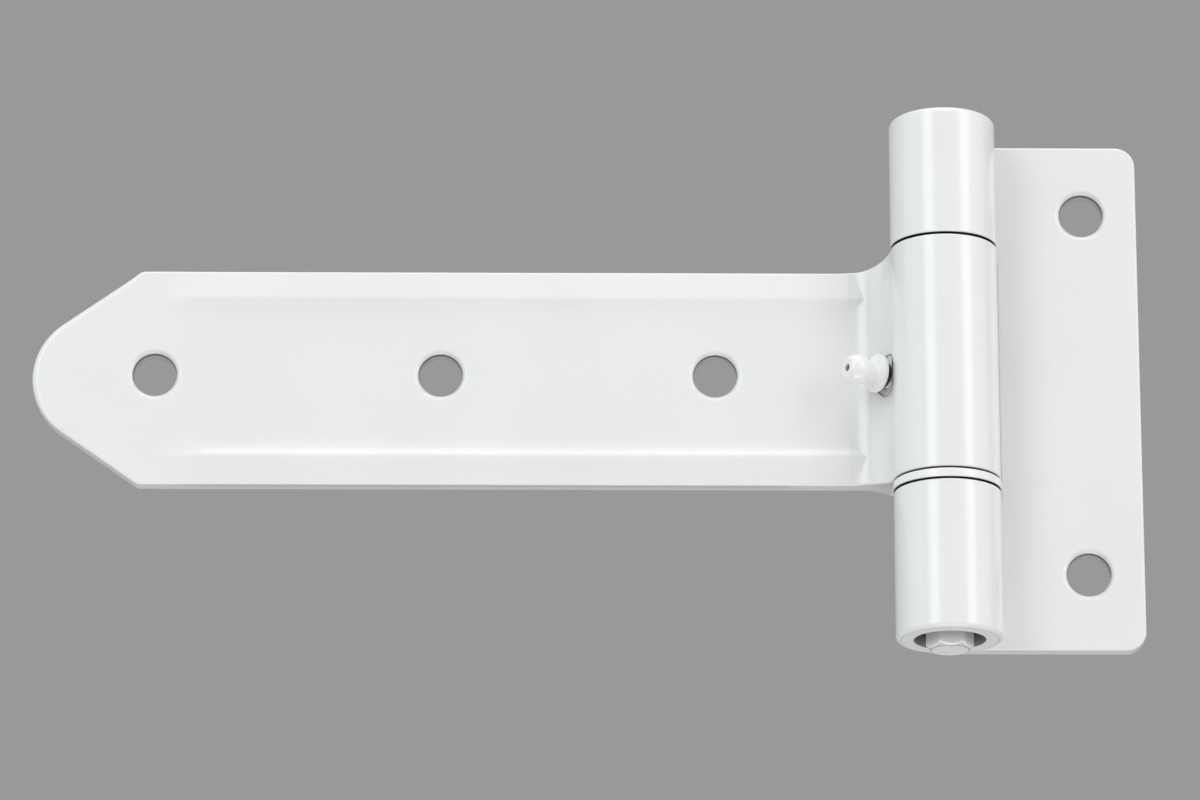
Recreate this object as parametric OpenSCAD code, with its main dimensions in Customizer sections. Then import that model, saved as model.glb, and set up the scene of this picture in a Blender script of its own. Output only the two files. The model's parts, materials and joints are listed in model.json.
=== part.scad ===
/* [Barrel] */
// Outer diameter of the three knuckles
barrel_d = 24; // [23:0.5:30]
// Thickness of both leaves and wall of the knuckles
sheet_t = 4; // [3.5:0.1:4.5]
// Length of the frame leaf's lower knuckle
lower_knuckle_h = 34.1; // [31:0.1:45]
// Length of the strap leaf's knuckle
strap_knuckle_h = 54.5; // [54:0.5:70]
// Length of the frame leaf's upper knuckle
upper_knuckle_h = 30; // [27:0.5:40]
// Open joint between the strap knuckle and the upper knuckle
joint_gap = 0.5; // [0.3:0.1:1]
// Edge radius at the top of the barrel
barrel_top_r = 1.5; // [0.5:0.1:2]
// Edge radius at the bottom of the barrel
barrel_bottom_r = 1; // [0.5:0.1:2]
// Edge radius at the joints between the knuckles
joint_edge_r = 0.4; // [0.2:0.1:0.8]

/* [Thrust washer] */
// Thickness of the thrust washer
thrust_t = 2; // [1:0.1:3]
// How far the thrust washer stands out past the barrel
thrust_lip = 0.15; // [0:0.05:0.5]
// Open joint above and below the thrust washer
thrust_gap = 0.4; // [0.2:0.1:0.8]

/* [Pin and bearings] */
// Diameter of the hinge pin
pin_d = 12; // [10:0.5:13]
// Height of the pin's head
pin_head_h = 4; // [2:0.5:5]
// Depth of the pin's head below the top of the barrel
pin_head_depth = 3; // [2:0.5:6]
// Gap between the pin's head and the bore around it
pin_head_gap = 0.1; // [0.05:0.05:0.4]
// Radial running clearance between pin and bearings
run_gap = 0.05; // [0.03:0.01:0.09]
// Length of each bearing bush in the strap knuckle
bearing_h = 20; // [12:0.5:22]
// Chamfer at the ends of the pin, the sleeves and the bushes
end_chamfer = 0.5; // [0.2:0.1:0.8]
// Chamfer at the mouths of the knuckles' bores
bore_chamfer = 0.2; // [0.1:0.1:0.8]

/* [Retaining screw] */
// Thread diameter of the retaining screw
screw_d = 6; // [5:0.5:7]
// Length of the screw's shank
screw_len = 18; // [12:1:24]
// Width across the flats of the hexagon
hex_af = 9.4; // [9:0.1:11]
// Height of the hexagon head
hex_h = 4; // [3:0.1:5]
// Height of the cone that breaks the hexagon's corners
hex_cone_h = 1.15; // [0.4:0.05:1.5]
// Turn of the hexagon about the pin's axis
hex_turn = 2; // [0:1:60]
// How far the head stands out below the barrel
hex_proud = 2.3; // [0.5:0.1:3]
// Thickness of the spring washer
spring_washer_t = 1.6; // [1:0.1:2]
// Radial width of the spring washer's wire
spring_washer_w = 2; // [1.5:0.1:2.5]
// Width of the slit in the spring washer
slit_w = 0.8; // [0.4:0.1:1.5]
// Slant of the slit in the spring washer
slit_slant = 30; // [0:5:45]
// Thickness of the retaining washer
retain_t = 1.6; // [1:0.1:2.5]
// Gap between the retaining washer and the bore around it
retain_gap = 0.2; // [0.1:0.05:0.5]
// Gap between the screw and the hole in each washer
washer_play = 0.2; // [0.1:0.05:0.4]
// Clamping gap between the end of the pin and the retaining washer
clamp_gap = 0.5; // [0.2:0.1:1]

/* [Frame leaf] */
// Step from the top of the barrel down to the upper edge of the frame leaf
frame_step = 2.9; // [2:0.1:6]
// Width of the frame leaf from the pin's axis to its outer edge
frame_w = 44.5; // [42:0.5:70]
// Radius of the frame leaf's outer corners
frame_corner_r = 4.5; // [1:0.5:10]
// Distance of the frame holes from the pin's axis
frame_hole_x = 32; // [26:0.5:34]
// Height of the lower frame hole above the lower edge
frame_hole_z = 17.7; // [12:0.1:20]
// Distance between the two frame holes
frame_hole_pitch = 85; // [60:1:88]
// Clearance between the strap knuckle and the edge of the leaf beside it
notch_gap = 0.5; // [0.4:0.1:2]
// Corner radius of the cut-out beside the strap knuckle
notch_r = 1.5; // [0.5:0.5:3]

/* [Strap leaf] */
// Length of the strap from the pin's axis to its nose
strap_len = 205.7; // [204:0.5:300]
// Width of the strap
strap_w = 50.5; // [48:0.5:52]
// Step from the lower end of the strap knuckle up to the strap's edge
strap_step = 1.25; // [0.5:0.05:1.5]
// Radius of the rounded nose
nose_r = 15.6; // [10:0.1:20]
// Length of the pointed part of the strap
tip_len = 24.2; // [20:0.1:40]
// Radius of the blunt corners between the pointed part and the strap's edges
tip_corner_r = 2.5; // [0.5:0.5:8]
// Distance of the first strap hole from the pin's axis
strap_hole_x = 51.5; // [45:0.5:60]
// Distance from the first to the second strap hole
strap_pitch_inner = 62; // [40:0.5:64]
// Distance from the second to the third strap hole
strap_pitch_outer = 64.5; // [40:0.5:66]
// Radius of the hollow sweep from the strap's front into the knuckle
sweep_r = 9; // [7:0.5:11]
// Radius of the outline where the strap widens to the knuckle
flare_r = 14; // [8:0.5:16]

/* [Pressed ridges of the strap] */
// Height of the ridges above the flat middle of the strap
ridge_h = 1; // [0.4:0.1:1.2]
// Distance of each ridge's crest from the strap's centre line
ridge_z = 18.6; // [17:0.1:20]
// Width of the hollow flank inside each crest
ridge_flank_w = 5.2; // [4:0.1:6]
// Distance of the ridges' fade-out from the nose
ridge_start = 27; // [26:0.5:40]
// Length over which the ridges fade out
ridge_fade = 14; // [6:0.5:30]
// Length over which the hollows behind the ridges fade out beside the knuckle
ridge_end_fade = 6; // [2:0.5:12]

/* [Fixing holes] */
// Diameter of the fixing holes
hole_d = 9.7; // [7:0.1:11]
// Edge radius at the front of the fixing holes
hole_edge_r = 0.9; // [0.4:0.1:1.4]

/* [Grease nipple] */
// Direction of the nipple, turned from straight ahead towards the strap
nipple_angle = 58; // [56:1:62]
// Distance of the nipple's axis from the pin's axis
nipple_offset = 9.1; // [8.8:0.1:9.3]
// Height of the nipple above the lower end of the strap knuckle
nipple_z = 25.6; // [24:0.1:28]
// Diameter of the nipple's shank and of its hole
shank_d = 5.6; // [5.2:0.1:6]
// Depth of the nipple's hole, as a distance from the foot of its axis
shank_hole_end = 1; // [0:0.5:3]
// Diameter of the spot face that the collar stands in
spot_d = 9.8; // [9.2:0.1:10.4]
// Floor of the spot face, as a distance from the foot of its axis
spot_floor = 9; // [8.7:0.1:10]
// Inner end of the shank, as a distance from the foot of its axis
shank_start = 5.5; // [5:0.1:6]
// Underside of the collar, as a distance from the foot of its axis
collar_start = 12; // [11.8:0.1:13]
// Diameter of the collar
collar_d = 8.7; // [7.5:0.1:9]
// Thickness of the collar's rim
collar_rim_h = 0.9; // [0.5:0.1:1.5]
// Height of the cone on the collar
collar_cone_h = 0.9; // [0.4:0.1:1.5]
// Width of the ledge between the collar's cone and the neck
collar_ledge_w = 0.4; // [0.1:0.1:0.8]
// Diameter of the neck under the head
neck_d = 4.8; // [4.4:0.1:5.2]
// Diameter of the rounded head
head_d = 6.8; // [6.2:0.1:7]
// Distance from the underside of the collar to the centre of the head
head_rise = 5.9; // [5:0.1:6.2]
// Distance from the centre of the head to its flat front
head_flat = 2.7; // [2.4:0.1:2.9]
// Diameter of the filling hole
inlet_d = 1.7; // [1.2:0.1:1.9]
// Thickness of the wall that the filling hole goes through
inlet_wall = 1.6; // [1.2:0.1:2]
// Diameter of the spring chamber
chamber_d = 3; // [2.8:0.1:3.2]
// Thickness of the shoulder under the spring
shoulder_t = 1.5; // [1:0.1:2]
// Diameter of the outlet through the shoulder
outlet_d = 1.5; // [1:0.1:1.6]
// Diameter of the check ball
check_ball_d = 2.4; // [2.2:0.1:2.6]
// Diameter of the valve spring's wire
spring_wire_d = 0.36; // [0.3:0.02:0.4]
// Mean diameter of the valve spring
spring_mean_d = 2.1; // [2:0.05:2.2]
// Number of turns of the valve spring
spring_turns = 8; // [5:1:9]
// Gap between the valve spring and the check ball
spring_gap = 0.02; // [0.01:0.01:0.1]

/* [Hidden] */
$fn = 96;
edge_fn = 48;
spring_sides = 8;
spring_rings_per_turn = 16;

// A small overlap for cuts that pass a face
cut = 1;
paint = [0.91, 0.92, 0.92];
bare_steel = [0.62, 0.63, 0.65];
bronze = [0.72, 0.53, 0.3];

// The barrel: every height counts up from the lower end of the lower knuckle
barrel_r = barrel_d / 2;
bore_r = barrel_r - sheet_t;
pin_r = pin_d / 2;
thrust_z = lower_knuckle_h + thrust_gap;
strap_z = thrust_z + thrust_t + thrust_gap;
strap_top_z = strap_z + strap_knuckle_h;
upper_z = strap_top_z + joint_gap;
barrel_h = upper_z + upper_knuckle_h;
front_y = barrel_r - sheet_t;

// The stack inside the bore
bearing_low_z = thrust_z + thrust_t + run_gap;
bearing_top_z = upper_z - 2 * run_gap;
sleeve_low_z = -hex_proud + hex_h + spring_washer_t + retain_t;
sleeve_top_z = barrel_h - pin_head_depth - pin_head_h;

// The frame leaf: the origin lies midway between its two holes, on its back
frame_h = barrel_h - frame_step;
frame_hole_mid = frame_hole_z + frame_hole_pitch / 2;
origin_shift = [-frame_hole_x, -barrel_r, -frame_hole_mid];
notch_x = barrel_r + notch_gap;

// The strap leaf: its outline is worked out along the strap's centre line
strap_low = strap_z + strap_step;
strap_high = strap_low + strap_w;
strap_mid = (strap_low + strap_high) / 2;
strap_hole_row = strap_z + strap_knuckle_h / 2;
strap_holes = [
    strap_hole_x,
    strap_hole_x + strap_pitch_inner,
    strap_hole_x + strap_pitch_inner + strap_pitch_outer
];
nose_x = -strap_len + nose_r;
corner_x = -strap_len + tip_len;
corner_reach = norm([corner_x - nose_x, strap_w / 2]);
tangent_turn = atan2(strap_w / 2, corner_x - nose_x) + acos(nose_r / corner_reach);
tip_corner_reach = tip_corner_r * tan((tangent_turn - 90) / 2);

// The hollow sweep touches the strap's front and the side of the knuckle
sweep_y = front_y - sweep_r;
sweep_x = -sqrt(pow(barrel_r + sweep_r, 2) - pow(sweep_y, 2));

// The ridge's inner flank is an arc that leaves the flat middle without an edge
flank_r = (pow(ridge_flank_w, 2) + pow(ridge_h, 2)) / (2 * ridge_h);
flank_turn = asin(ridge_flank_w / flank_r);
flank_steps = 6;
half_profile = [
    for (i = [0 : flank_steps])
        let (turn = flank_turn * i / flank_steps)
            [ridge_z - ridge_flank_w + flank_r * sin(turn), -flank_r * (1 - cos(turn))]
];
edge_point = [strap_w / 2, 0];

// The nipple's valve: the ball rests on the edge of the filling hole
head_at = collar_start + head_rise;
face_at = head_at + head_flat;
seat_at = face_at - inlet_wall;
ball_at = seat_at - sqrt(pow(check_ball_d / 2, 2) - pow(inlet_d / 2, 2));
chamber_start = shank_start + shoulder_t;
spring_touch = (check_ball_d + spring_wire_d) / 2;
spring_low = chamber_start + spring_wire_d / 2;
spring_high = ball_at - sqrt(pow(spring_touch, 2) - pow(spring_mean_d / 2, 2)) - spring_gap;

// Moves a piece from the pin's axis to the part's own frame
module placed() {
    translate(origin_shift)
        children();
}

// Corner waste of a rounded edge: the corner is at the origin, the body at minus x and minus y
module corner_waste(r) {
    translate([-r, -r])
        difference() {
            square(r + cut);
            circle(r);
        }
}

// Ring about the pin's axis with rounded outer edges and chamfered bore
module knuckle(z, h, low_r, high_r) {
    translate([0, 0, z])
        rotate_extrude()
            difference() {
                translate([bore_r, 0])
                    square([sheet_t, h]);
                translate([barrel_r, h])
                    corner_waste(high_r);
                translate([barrel_r, 0])
                    mirror([0, 1])
                        corner_waste(low_r);
                bore_break(0);
                bore_break(h);
            }
}

// Chamfer section at the mouth of a bore
module bore_break(z) {
    translate([bore_r, z])
        rotate(45)
            square(bore_chamfer * sqrt(2), center = true);
}

// Plain bush about the pin's axis with chamfered outer edges
module bush(z, h, inner_r) {
    translate([0, 0, z])
        rotate_extrude()
            polygon([
                [inner_r, 0],
                [bore_r - end_chamfer, 0],
                [bore_r, end_chamfer],
                [bore_r, h - end_chamfer],
                [bore_r - end_chamfer, h],
                [inner_r, h]
            ]);
}

// Flat ring about the pin's axis
module flat_ring(z, h, outer_r, inner_r) {
    translate([0, 0, z])
        difference() {
            cylinder(h = h, r = outer_r);
            translate([0, 0, -cut])
                cylinder(h = h + 2 * cut, r = inner_r);
        }
}

// Punched fixing hole through a leaf: rounded front edge, straight wall to the back
module fixing_hole(x, z) {
    translate([x, barrel_r + cut, z])
        rotate([90, 0, 0])
            cylinder(h = sheet_t + 2 * cut, d = hole_d);
    translate([x, front_y, z])
        rotate([90, 0, 0])
            rotate_extrude()
                difference() {
                    translate([0, -hole_edge_r])
                        square([hole_d / 2 + hole_edge_r, hole_edge_r + cut]);
                    translate([hole_d / 2 + hole_edge_r, -hole_edge_r])
                        circle(hole_edge_r, $fn = edge_fn);
                }
}

// Outline of the frame leaf, seen from the front
module frame_outline() {
    r = frame_corner_r;
    difference() {
        union() {
            square([frame_w - r, frame_h]);
            translate([0, r])
                square([frame_w, frame_h - 2 * r]);
            for (z = [r, frame_h - r])
                translate([frame_w - r, z])
                    circle(r);
        }
        notch_outline();
    }
}

// Cut-out of the frame leaf beside the strap knuckle
module notch_outline() {
    low = lower_knuckle_h;
    high = upper_z;
    translate([-cut, low])
        square([notch_x + cut - notch_r, high - low]);
    translate([-cut, low + notch_r])
        square([notch_x + cut, high - low - 2 * notch_r]);
    for (z = [low + notch_r, high - notch_r])
        translate([notch_x - notch_r, z])
            circle(notch_r);
}

module frame_leaf() {
    placed()
        color(paint)
            difference() {
                union() {
                    translate([0, barrel_r, 0])
                        rotate([90, 0, 0])
                            linear_extrude(sheet_t)
                                frame_outline();
                    knuckle(0, lower_knuckle_h, barrel_bottom_r, joint_edge_r);
                    knuckle(upper_z, upper_knuckle_h, joint_edge_r, barrel_top_r);
                }
                for (z = [frame_hole_z, frame_hole_z + frame_hole_pitch])
                    fixing_hole(frame_hole_x, z);
                translate([0, 0, -cut])
                    cylinder(h = barrel_h + 2 * cut, r = bore_r);
            }
}

// The strap with its rounded nose and sharp blunt corners, seen from the front
module pointed_outline() {
    tangent = [nose_x + nose_r * cos(tangent_turn), nose_r * sin(tangent_turn)];
    translate([0, strap_mid]) {
        translate([nose_x, 0])
            circle(nose_r);
        polygon([
            [nose_x, 0],
            [tangent.x, -tangent.y],
            [corner_x, -strap_w / 2],
            [0, -strap_w / 2],
            [0, strap_w / 2],
            [corner_x, strap_w / 2],
            tangent
        ]);
    }
}

// Waste outside the arc of the upper blunt corner, drawn about the strap's centre line
module tip_corner_waste() {
    edge_side = [0, 1];
    point_side = [cos(tangent_turn), sin(tangent_turn)];
    centre = [corner_x + tip_corner_reach, strap_w / 2 - tip_corner_r];
    difference() {
        polygon([
            centre,
            centre + tip_corner_r * edge_side,
            centre + (tip_corner_r + cut) * edge_side,
            centre + (tip_corner_r + cut) * point_side,
            centre + tip_corner_r * point_side
        ]);
        translate(centre)
            circle(tip_corner_r);
    }
}

// Outline of the strap leaf, seen from the front
module strap_outline() {
    difference() {
        pointed_outline();
        for (side = [0, 1])
            translate([0, strap_mid])
                mirror([0, side])
                    tip_corner_waste();
    }
    flare(strap_high, strap_top_z, 1);
    flare(strap_low, strap_z, -1);
}

// Hollow widening of the outline from the strap's edge to the end of the knuckle
module flare(edge, end, side) {
    rise = abs(end - edge);
    run = sqrt(pow(flare_r, 2) - pow(flare_r - rise, 2));
    difference() {
        translate([-barrel_r - run, min(edge, end)])
            square([barrel_r + run, rise]);
        translate([-barrel_r - run, edge + side * flare_r])
            circle(flare_r);
    }
}

// Extrudes an outline seen from the front through the depth of the barrel
module through_depth() {
    translate([0, barrel_r, 0])
        rotate([90, 0, 0])
            linear_extrude(barrel_d)
                children();
}

// Section of the strap in plan: the flat sheet and its sweep into the knuckle
module strap_plan() {
    translate([-strap_len, front_y])
        square([strap_len, sheet_t]);
    difference() {
        translate([sweep_x, 0])
            square([-sweep_x, barrel_r]);
        translate([sweep_x, sweep_y])
            circle(sweep_r);
    }
}

// Section across one ridge, from the flat middle to the edge of the strap
module ridge_section() {
    polygon(concat(half_profile, [edge_point]));
}

// Both ridges as far as they rise from a face at depth y, fading out before they reach x = end
module ridges(y, end, end_fade) {
    intersection() {
        for (side = [0, 1])
            translate([0, y, strap_mid])
                mirror([0, 0, side])
                    rotate([0, -90, 0])
                        linear_extrude(strap_len)
                            ridge_section();
        linear_extrude(barrel_h)
            ridge_fade_plan(y, end, end_fade);
    }
}

// Plan of the space that the ridges fill: it narrows to nothing at both ends
module ridge_fade_plan(y, end, end_fade) {
    start = -strap_len + ridge_start;
    polygon([
        [start, y],
        [start + ridge_fade, y - ridge_h],
        [end - end_fade, y - ridge_h],
        [end, y],
        [end, y + cut],
        [start, y + cut]
    ]);
}

// Moves a piece that stands on the local z axis onto the nipple's axis
module on_nipple_axis() {
    translate([0, 0, strap_z + nipple_z])
        rotate([0, 0, -nipple_angle])
            translate([-nipple_offset, 0, 0])
                rotate([90, 0, 0])
                    children();
}

module strap_leaf() {
    placed()
        color(paint)
            difference() {
                union() {
                    intersection() {
                        union() {
                            linear_extrude(barrel_h)
                                strap_plan();
                            ridges(front_y, 0, 0);
                        }
                        through_depth()
                            strap_outline();
                    }
                    knuckle(strap_z, strap_knuckle_h, joint_edge_r, joint_edge_r);
                }
                ridges(barrel_r, sweep_x, ridge_end_fade);
                for (x = strap_holes)
                    fixing_hole(-x, strap_hole_row);
                translate([0, 0, -cut])
                    cylinder(h = barrel_h + 2 * cut, r = bore_r);
                on_nipple_axis() {
                    translate([0, 0, shank_hole_end])
                        cylinder(h = collar_start - shank_hole_end, d = shank_d);
                    translate([0, 0, spot_floor])
                        cylinder(h = collar_start - spot_floor, d = spot_d);
                }
            }
}

module hinge_pin() {
    head_r = bore_r - pin_head_gap;
    low = sleeve_low_z + clamp_gap;
    placed()
        color(bare_steel)
            difference() {
                rotate_extrude()
                    polygon([
                        [0, low],
                        [pin_r - end_chamfer, low],
                        [pin_r, low + end_chamfer],
                        [pin_r, sleeve_top_z],
                        [head_r, sleeve_top_z],
                        [head_r, sleeve_top_z + pin_head_h - end_chamfer],
                        [head_r - end_chamfer, sleeve_top_z + pin_head_h],
                        [0, sleeve_top_z + pin_head_h]
                    ]);
                translate([0, 0, low - cut])
                    cylinder(h = screw_len + cut, d = screw_d);
            }
}

module upper_sleeve() {
    placed()
        color(bare_steel)
            bush(upper_z - run_gap, sleeve_top_z - upper_z + run_gap, pin_r);
}

module lower_sleeve() {
    placed()
        color(bare_steel)
            bush(sleeve_low_z, thrust_z - sleeve_low_z, pin_r);
}

module upper_bearing() {
    placed()
        color(bronze)
            bush(bearing_top_z - bearing_h, bearing_h, pin_r + run_gap);
}

module lower_bearing() {
    placed()
        color(bronze)
            bush(bearing_low_z, bearing_h, pin_r + run_gap);
}

module thrust_washer() {
    placed()
        color(paint)
            flat_ring(thrust_z, thrust_t, barrel_r + thrust_lip, pin_r + run_gap);
}

module retaining_washer() {
    placed()
        color(bare_steel)
            flat_ring(sleeve_low_z - retain_t, retain_t, bore_r - retain_gap, screw_d / 2 + washer_play);
}

// Split ring: the slit is cut at a slant through one side
module spring_washer() {
    inner_r = screw_d / 2 + washer_play;
    z = -hex_proud + hex_h;
    placed()
        color(bare_steel)
            difference() {
                flat_ring(z, spring_washer_t, inner_r + spring_washer_w, inner_r);
                translate([0, 0, z + spring_washer_t / 2])
                    rotate([slit_slant, 0, 0])
                        translate([0, -slit_w / 2, -2 * spring_washer_t])
                            cube([barrel_r, slit_w, 4 * spring_washer_t]);
            }
}

module retaining_screw() {
    corner_r = hex_af / 2 / cos(30);
    flat_r = corner_r - hex_cone_h;
    wide_r = corner_r + cut;
    placed()
        color(paint)
            translate([0, 0, -hex_proud]) {
                intersection() {
                    rotate([0, 0, hex_turn])
                        cylinder(h = hex_h, r = corner_r, $fn = 6);
                    rotate_extrude()
                        polygon([
                            [0, 0],
                            [flat_r, 0],
                            [wide_r, wide_r - flat_r],
                            [wide_r, hex_h + cut],
                            [0, hex_h + cut]
                        ]);
                }
                translate([0, 0, hex_h - cut])
                    cylinder(h = screw_len + cut, d = screw_d);
            }
}

// Turned body of the nipple, on its own axis
module nipple_turning() {
    head_r = head_d / 2;
    neck_r = neck_d / 2;
    collar_top = collar_start + collar_rim_h + collar_cone_h;
    translate([0, 0, shank_start])
        cylinder(h = collar_start - shank_start, d = shank_d);
    translate([0, 0, collar_start])
        cylinder(h = collar_rim_h, d = collar_d);
    translate([0, 0, collar_start + collar_rim_h])
        cylinder(h = collar_cone_h, r1 = collar_d / 2, r2 = neck_r + collar_ledge_w);
    translate([0, 0, collar_start])
        cylinder(h = head_rise, r = neck_r);
    intersection() {
        translate([0, 0, head_at])
            sphere(head_r);
        translate([0, 0, collar_top])
            cylinder(h = face_at - collar_top, r = head_d);
    }
}

module nipple_body() {
    placed()
        color(paint)
            on_nipple_axis()
                difference() {
                    nipple_turning();
                    translate([0, 0, chamber_start])
                        cylinder(h = seat_at - chamber_start, d = chamber_d);
                    translate([0, 0, shank_start - cut])
                        cylinder(h = shoulder_t + 2 * cut, d = outlet_d);
                    translate([0, 0, seat_at - cut])
                        cylinder(h = inlet_wall + 2 * cut, d = inlet_d);
                }
}

module nipple_ball() {
    placed()
        color(bare_steel)
            on_nipple_axis()
                translate([0, 0, ball_at])
                    sphere(d = check_ball_d);
}

// One ring of points around the spring's wire at a given share of its length
function spring_ring(share) = [
    for (i = [0 : spring_sides - 1])
        let (
            turn = 360 * spring_turns * share,
            around = 360 * i / spring_sides,
            out = (spring_mean_d + spring_wire_d * cos(around)) / 2
        )
            [
                out * cos(turn),
                out * sin(turn),
                spring_low + (spring_high - spring_low) * share + spring_wire_d / 2 * sin(around)
            ]
];

module nipple_spring() {
    sides = spring_sides;
    rings = spring_turns * spring_rings_per_turn;
    points = [
        for (i = [0 : rings])
            each spring_ring(i / rings)
    ];
    skin = [
        for (i = [0 : rings - 1])
            for (k = [0 : sides - 1])
                [
                    i * sides + k,
                    i * sides + (k + 1) % sides,
                    (i + 1) * sides + (k + 1) % sides,
                    (i + 1) * sides + k
                ]
    ];
    first = [for (k = [sides - 1 : -1 : 0]) k];
    last = [for (k = [0 : sides - 1]) rings * sides + k];
    placed()
        color(bare_steel)
            on_nipple_axis()
                polyhedron(points = points, faces = concat(skin, [first, last]));
}

frame_leaf();
strap_leaf();
hinge_pin();
upper_sleeve();
lower_sleeve();
upper_bearing();
lower_bearing();
thrust_washer();
retaining_washer();
spring_washer();
retaining_screw();
nipple_body();
nipple_ball();
nipple_spring();
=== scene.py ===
import json
import math

import bpy
import numpy as np
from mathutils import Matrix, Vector
from mathutils.geometry import delaunay_2d_cdt


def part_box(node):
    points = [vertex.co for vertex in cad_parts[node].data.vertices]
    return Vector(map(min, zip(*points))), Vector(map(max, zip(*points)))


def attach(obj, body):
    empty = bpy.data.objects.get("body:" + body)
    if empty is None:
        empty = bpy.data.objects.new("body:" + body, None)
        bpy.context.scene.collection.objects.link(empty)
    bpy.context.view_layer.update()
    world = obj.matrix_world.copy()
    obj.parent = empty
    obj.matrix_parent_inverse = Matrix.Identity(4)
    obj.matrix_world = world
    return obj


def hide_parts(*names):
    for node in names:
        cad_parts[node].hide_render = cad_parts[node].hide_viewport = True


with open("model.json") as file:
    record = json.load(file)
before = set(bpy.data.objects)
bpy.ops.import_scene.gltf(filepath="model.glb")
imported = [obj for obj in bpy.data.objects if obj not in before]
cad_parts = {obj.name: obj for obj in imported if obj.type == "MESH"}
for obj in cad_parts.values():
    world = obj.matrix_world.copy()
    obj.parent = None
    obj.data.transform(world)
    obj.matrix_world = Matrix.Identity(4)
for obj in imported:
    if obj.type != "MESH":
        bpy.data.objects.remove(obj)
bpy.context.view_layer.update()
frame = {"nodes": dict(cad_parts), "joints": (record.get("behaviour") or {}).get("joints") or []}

# Sizes of the hinge in millimetres, counted from the pin's axis and the foot of the barrel
MM = 0.001
joint_at = frame["joints"][0]["pos_m"]
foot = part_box("frame_leaf")[0].z
PIN = np.array([joint_at[0], joint_at[1], foot]) / MM

# Barrel
barrel_r = 12.0
bore_r = 8.0
lower_top = 34.1
strap_low_end = 36.9
strap_high_end = 91.4
upper_low = 91.9
barrel_top = 121.9
foot_edge = 1.0
crown_edge = 1.5
joint_edge = 0.4
bore_bite = 0.2

# Sheet of both leaves, and its punched holes
sheet_back = 12.0
sheet_front = 8.0
edge_front = 0.5
edge_back = 0.4
edge_nose = 1.5
skin = 0.02
hole_r = 4.85
hole_edge = 1.35

# Frame leaf
frame_top = 119.0
frame_edge = 44.5
frame_corner = 4.5
notch_x = 12.5
notch_r = 1.5
sharp_r = 0.1
frame_holes = [(32.0, 17.7), (32.0, 102.7)]

# Strap leaf
strap_mid = 63.4
strap_half = 25.25
strap_nose = -205.7
nose_r = 15.6
tip_len = 24.2
tip_corner_r = 2.5
strap_row = 64.15
strap_holes = [(-51.5, strap_row), (-113.5, strap_row), (-178.0, strap_row)]
sweep_r = 9.0
flare_r = 14.0
ridge_h = 1.0
ridge_z = 18.6
ridge_flank = 5.2
ridge_start = 27.0
ridge_fade = 14.0

# Painted shade: depths below the sheet's front where it starts, is full and fades in a hole, and the height
# over which it grows to full in a bore
hole_shade_start = 0.54
hole_shade_full = 0.9
hole_shade_end = 1.55
hole_shade_fade = 0.25
bore_shade_reach = 3.2

# Points round a full ring, round the part of a ring, and round a hole
ring_steps = 192
part_steps = 170
hole_steps = 96


# Mesh kit: every surface is made of points with their own true normals, and each face is turned to agree
# with them; the per-point darkening says how far each point's colour goes to near black, mostly painted
# shade
class Shell:
    def __init__(self):
        self.points, self.normals, self.faces, self.wear, self.count = [], [], [], [], 0

    def add(self, points, normals, faces, wear=0.0):
        points = np.asarray(points, float).reshape(-1, 3)
        self.wear.append(np.broadcast_to(np.asarray(wear, float).reshape(-1), len(points)))
        normals = np.asarray(normals, float).reshape(-1, 3)
        normals = normals / np.linalg.norm(normals, axis=1, keepdims=True)
        for face in faces:
            around = [points[i] for i in face]
            turn = np.zeros(3)
            for a, b in zip(around, around[1:] + around[:1]):
                turn += np.cross(a, b)
            if turn @ sum(normals[i] for i in face) < 0:
                face = face[::-1]
            self.faces.append([int(i) + self.count for i in face])
        self.points.append(points)
        self.normals.append(normals)
        self.count += len(points)

    def grid(self, points, normals, wrap=False, wear=0.0):
        rows, cols = points.shape[:2]
        wear = np.asarray(wear, float)
        wear = np.broadcast_to(wear if wear.ndim == 2 else wear.reshape(-1, 1), (rows, cols))
        faces = []
        for i in range(rows - 1):
            for k in range(cols if wrap else cols - 1):
                n = (k + 1) % cols
                faces.append([i * cols + k, i * cols + n, (i + 1) * cols + n, (i + 1) * cols + k])
        self.add(points, normals, faces, wear)

    def piece(self, name, body, slot, material, *nodes):
        mesh = bpy.data.meshes.new(name)
        points = (np.concatenate(self.points) + PIN) * MM
        mesh.from_pydata(points.tolist(), [], self.faces)
        mesh.polygons.foreach_set("use_smooth", [True] * len(mesh.polygons))
        mesh.update()
        mesh.normals_split_custom_set_from_vertices(np.concatenate(self.normals).tolist())
        mesh.attributes.new("wear", "FLOAT", "POINT").data.foreach_set("value", np.concatenate(self.wear))
        mesh.materials.append(material)
        thing = bpy.data.objects.new(name, mesh)
        bpy.context.scene.collection.objects.link(thing)
        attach(thing, body)
        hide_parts(*nodes)


def smooth(t):
    t = np.clip(t, 0, 1)
    return t * t * (3 - 2 * t)


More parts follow.
